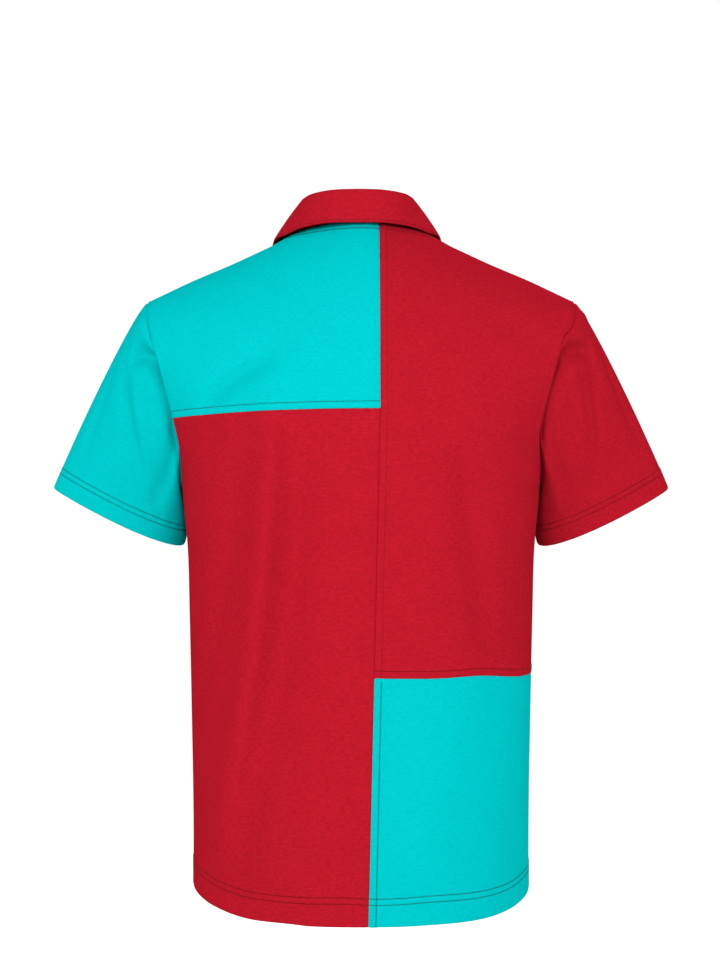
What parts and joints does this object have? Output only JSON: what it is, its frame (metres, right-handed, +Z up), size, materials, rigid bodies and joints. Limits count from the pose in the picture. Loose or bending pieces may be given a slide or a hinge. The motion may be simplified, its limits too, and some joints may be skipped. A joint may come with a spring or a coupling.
{
  "type": "polo shirt",
  "caption": "Short-sleeved colour-block polo shirt with a fold-over collar and a buttoned placket, hollow as worn.",
  "frame": {"origin": "at the base of the neck, midway between front and back, level with the inner ends of the shoulder seams", "axes": "+Z up along the wearer's body, -Y the way the wearer faces, +X towards the wearer's left"},
  "size_m": [0.6594, 0.3053, 0.7329],
  "materials": {
    "red_jersey": "matt heavy cotton jersey",
    "turquoise_jersey": "matt heavy cotton jersey",
    "red_button": "polished resin"
  },
  "bodies": {
    "root": {"back_upper_left": "turquoise_jersey", "back_lower_left": "red_jersey", "back_upper_right": "red_jersey", "back_lower_right": "turquoise_jersey", "front": "red_jersey", "sleeve_left": "turquoise_jersey", "sleeve_right": "red_jersey", "collar": "red_jersey", "placket_under": "red_jersey", "placket_over": "red_jersey", "button_top": "red_button", "button_middle": "red_button", "button_low": "red_button"}
  },
  "joints": []
}
